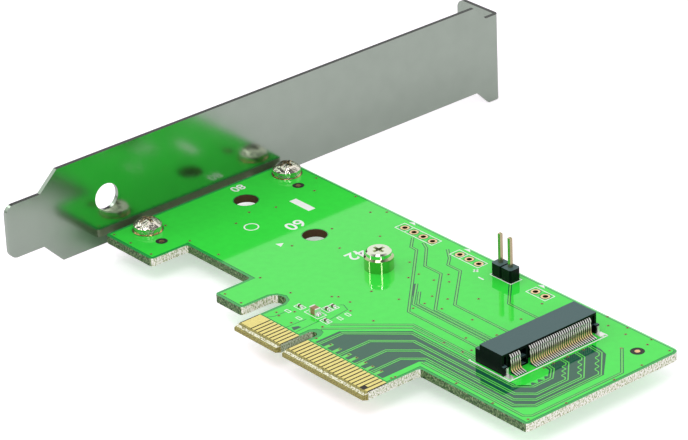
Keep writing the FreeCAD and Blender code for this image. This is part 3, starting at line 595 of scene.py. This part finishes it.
for x, y in VIAS:
    hole = round_outline(x, y, VIA_HOLE, VIA_ROUND)
    vias.frame(round_outline(x, y, VIA_RADIUS, VIA_ROUND), hole, 0.0, VIA_HIGH, 0)
    # The dark disc in each via is painted shade in its hole
    vias.prism(hole, 0.0, VIA_HOLE_HIGH, 1)
# The bare dark laminate around each alignment dot is a thin disc of the same piece
for x, y, radius in DOTS:
    vias.prism(round_outline(x, y, radius, DOT_ROUND), 0.0, GROUND_HIGH, 1)
vias.piece("vias", ["via", "dark"], "laminate")


# White print: plain numbers, outlines, bars and triangles

PRINT_LOW, PRINT_HIGH = POUR_HIGH - SUNK, 0.062
CHIP_LINE, PRINT_LINE, SOCKET_LINE, SIGN_LINE = 0.14, 0.16, 0.26, 0.3
marks = Stack()


def outline_mark(left, right, low, high, line=PRINT_LINE):
    marks.frame(box_outline(left, right, low, high),
                box_outline(left + line, right - line, low + line, high - line), PRINT_LOW, PRINT_HIGH)


def outline_around(spot, wide, down, up, line):
    x, y = spot
    outline_mark(x - wide, x + wide, y - down, y + up, line)


def line_mark(points, width=PRINT_LINE):
    marks.prism(ribbon(points, width), PRINT_LOW, PRINT_HIGH)


def filled_mark(outline):
    marks.prism(outline, PRINT_LOW, PRINT_HIGH)


for left, right, divider in ((-20.65, -10.35, -18.0), (-5.7, 2.0, -3.1), (14.45, 19.5, None)):
    outline_mark(left, right, 44.5, 47.05)
    if divider:
        line_mark([(divider, 44.6), (divider, 46.95)])
for x in (-19.4, -4.4, 15.1):
    filled_mark([(x - 0.9, 47.75), (x + 0.9, 47.75), (x, 48.45)])
outline_around(HEADER, 2.8, 1.4, 1.4, PRINT_LINE)
for points in ([(25.85, 20.75), (36.1, 20.75), (36.1, 43.65)], [(25.85, 20.75), (25.85, 21.15)],
               [(34.3, 43.65), (36.1, 43.65)]):
    line_mark(points, SOCKET_LINE)
filled_mark(box_outline(-42.5, -36.85, 37.6, 39.2))
filled_mark([(-30.85, 24.7), (-29.3, 24.7), (-30.1, 26.0)])
marks.frame(round_outline(-39.3, 25.9, 1.45, RING_ROUND), round_outline(-39.3, 25.9, 1.2, RING_ROUND),
            PRINT_LOW, PRINT_HIGH)
for points in ([(4.6, 42.3), (6.0, 42.3)], [(1.9, 43.6), (3.1, 43.6)], [(2.5, 43.0), (2.5, 44.2)]):
    line_mark(points, SIGN_LINE)
for chip in CHIPS:
    outline_around(chip, 1.03, 0.68, 0.68, CHIP_LINE)
outline_around(BULK, 1.9, 1.05, 1.1, CHIP_LINE)
for spot in ((-9.4, 9.9), (-6.0, 9.6), (-0.9, 14.7), (-1.0, 16.6)):
    outline_around(spot, 0.65, 0.35, 0.35, CHIP_LINE)
marks.piece("white_print", ["print"], "laminate")

# The drive lengths in millimetres, beside the holes for them
for label, x, y, size in (("80", -54.6, 35.7, 2.9), ("60", -35.6, 34.2, 4.0), ("42", -18.6, 34.4, 4.0)):
    text = bpy.data.curves.new("number_" + label, "FONT")
    text.body = label
    text.size = size * MM
    text.extrude = (PRINT_HIGH - PRINT_LOW) / 2 * MM
    text.offset = size * 0.014 * MM
    mesh = mesh_of("number_" + label, text)
    mesh.transform(Matrix.Translation((x * MM, y * MM, (PRINT_LOW + PRINT_HIGH) / 2 * MM))
                   @ Matrix.Rotation(-math.pi / 2, 4, "Z"))
    mesh.materials.append(MATS["print"])
    add_piece("number_" + label, mesh)


# Solder

TAIL_PITCH, TAILS = 0.5, list(range(29)) + list(range(33, 38))
TAIL_X, FIRST_TAIL, FOOT_X = 35.2, 9.25, 35.1
# Each mound's width, depth and height
TAIL_MOUND, FOOT_MOUND = (0.75, 0.3, 0.12), (1.9, 1.1, 0.16)
CHIP_MOUND, BULK_MOUND = (0.5, 0.6, 0.28), (0.8, 1.3, 0.6)
CHIP_END, BULK_END = 0.62, 1.05
solder = Stack()
for i in TAILS:
    solder.mound(TAIL_X, DRIVE_AXIS + FIRST_TAIL - TAIL_PITCH * i, *TAIL_MOUND)
for foot in ("socket_foot_near", "socket_foot_far"):
    solder.mound(FOOT_X, middle(foot)[1], *FOOT_MOUND)
for x, y in CHIPS:
    for side in (-1, 1):
        solder.mound(x + side * CHIP_END, y, *CHIP_MOUND)
for side in (-1, 1):
    solder.mound(BULK[0] + side * BULK_END, BULK[1], *BULK_MOUND)
solder_piece = solder.piece("solder", ["tinned_metal"], "tinned_metal")
for polygon in solder_piece.data.polygons:
    polygon.use_smooth = True


# Floor and light

WHITE = (1, 1, 1, 1)
FLOOR_LEVEL, FLOOR_REACH = -5.6 * MM, 3.0
FLOOR_COLOUR = (0.88, 0.8, 0.88, 1)     # less green, against the light that the board throws on it
SEEN_LIFT, MIRRORED_LIFT = 0.5, 0.03

floor_mat, tree, shader = new_material("pale_floor")
shader.inputs["Base Color"].default_value = FLOOR_COLOUR
shader.inputs["Roughness"].default_value = 0.9
shader.inputs["Specular IOR Level"].default_value = 0.0
paths = tree.nodes.new("ShaderNodeLightPath").outputs
lift = math_node(tree, "MAXIMUM", times(tree, paths["Is Camera Ray"], SEEN_LIFT),
                 times(tree, paths["Is Glossy Ray"], MIRRORED_LIFT))
shader.inputs["Emission Color"].default_value = WHITE
tree.links.new(lift, shader.inputs["Emission Strength"])
floor_mesh = bpy.data.meshes.new("floor")
floor_outline = box_outline(-FLOOR_REACH, FLOOR_REACH, -FLOOR_REACH, FLOOR_REACH)
floor_mesh.from_pydata([(x, y, FLOOR_LEVEL) for x, y in floor_outline], [], [[0, 1, 2, 3]])
floor_mesh.materials.append(floor_mat)
floor = bpy.data.objects.new("floor", floor_mesh)
bpy.context.scene.collection.objects.link(floor)

# In reflections the room is dim, with a bright wall behind and above the bracket.
# The camera sees plain white.
WALL_TOWARD = (-0.69, 0.565, 0.45)
WALL_BEGINS, WALL_FULL = 0.05, 0.4
ROOM_LIGHT, ROOM_DIM, WALL_BRIGHT = 0.7, 0.15, 1.0

world = bpy.data.worlds.new("studio")
bpy.context.scene.world = world
world.use_nodes = True
tree = world.node_tree
background = tree.nodes["Background"]
background.inputs["Color"].default_value = WHITE
paths = tree.nodes.new("ShaderNodeLightPath").outputs
toward = add_node(tree, "ShaderNodeVectorMath", operation="DOT_PRODUCT")
tree.links.new(tree.nodes.new("ShaderNodeTexCoord").outputs["Generated"], toward.inputs[0])
toward.inputs[1].default_value = WALL_TOWARD
wall = scale_to(tree, toward.outputs["Value"], ROOM_DIM, WALL_BRIGHT, WALL_BEGINS, WALL_FULL)
mirrored = tree.nodes.new("ShaderNodeMix")
tree.links.new(paths["Is Glossy Ray"], mirrored.inputs[0])
mirrored.inputs[2].default_value = ROOM_LIGHT
tree.links.new(wall, mirrored.inputs[3])
seen = tree.nodes.new("ShaderNodeMix")
tree.links.new(paths["Is Camera Ray"], seen.inputs[0])
tree.links.new(mirrored.outputs[0], seen.inputs[2])
seen.inputs[3].default_value = 1.0
tree.links.new(seen.outputs[0], background.inputs["Strength"])

LIT_SPOT = (-0.005, 0.03, 0)


def softbox(name, where, size, power):
    """A lamp aimed at the board, with its place and size in metres."""
    light = bpy.data.lights.new(name, "AREA")
    light.shape = "ELLIPSE"
    light.size, light.size_y = size
    light.energy = power
    lamp = bpy.data.objects.new(name, light)
    lamp.location = where
    aim = Vector(LIT_SPOT) - Vector(where)
    lamp.rotation_mode = "QUATERNION"
    lamp.rotation_quaternion = aim.to_track_quat("-Z", "Y")
    bpy.context.scene.collection.objects.link(lamp)


softbox("key_light", (0.3, -0.35, 0.75), (0.5, 0.4), 1.75)
softbox("fill_light", (-0.5, -0.1, 0.55), (0.3, 0.3), 0.4)
# Two low strips give the post its upright glints
softbox("front_strip", (0.5, -0.17, 0.275), (0.08, 0.12), 0.35)
softbox("side_strip", (-0.275, -0.43, 0.275), (0.08, 0.12), 0.3)


# Camera, fitted to measured points of the photograph

AZIMUTH, ELEVATION, ROLL = math.radians(50.732), math.radians(26.781), math.radians(-2.478)
TARGET = Vector((-29.496, 39.919, 0.0)) * MM
DISTANCE = 647.08
FOCAL_PIXELS, IMAGE_WIDE, SENSOR = 3514.64, 688, 36.0
back = Vector((math.sin(AZIMUTH) * math.cos(ELEVATION), -math.cos(AZIMUTH) * math.cos(ELEVATION),
               math.sin(ELEVATION)))
right = (-back).cross(Vector((0, 0, 1))).normalized()
upward = right.cross(-back)
turned_right = right * math.cos(ROLL) + upward * math.sin(ROLL)
turned_up = upward * math.cos(ROLL) - right * math.sin(ROLL)
lens = bpy.data.cameras.new("camera")
lens.sensor_width = SENSOR
lens.lens = FOCAL_PIXELS * SENSOR / IMAGE_WIDE
lens.clip_start, lens.clip_end = 0.01, 20
camera = bpy.data.objects.new("camera", lens)
camera.matrix_world = Matrix((
    (turned_right.x, turned_up.x, back.x, 0), (turned_right.y, turned_up.y, back.y, 0),
    (turned_right.z, turned_up.z, back.z, 0), (0, 0, 0, 1)))
camera.location = TARGET + back * DISTANCE * MM
bpy.context.scene.collection.objects.link(camera)
bpy.context.scene.camera = camera
bpy.context.scene.view_settings.view_transform = "Standard"
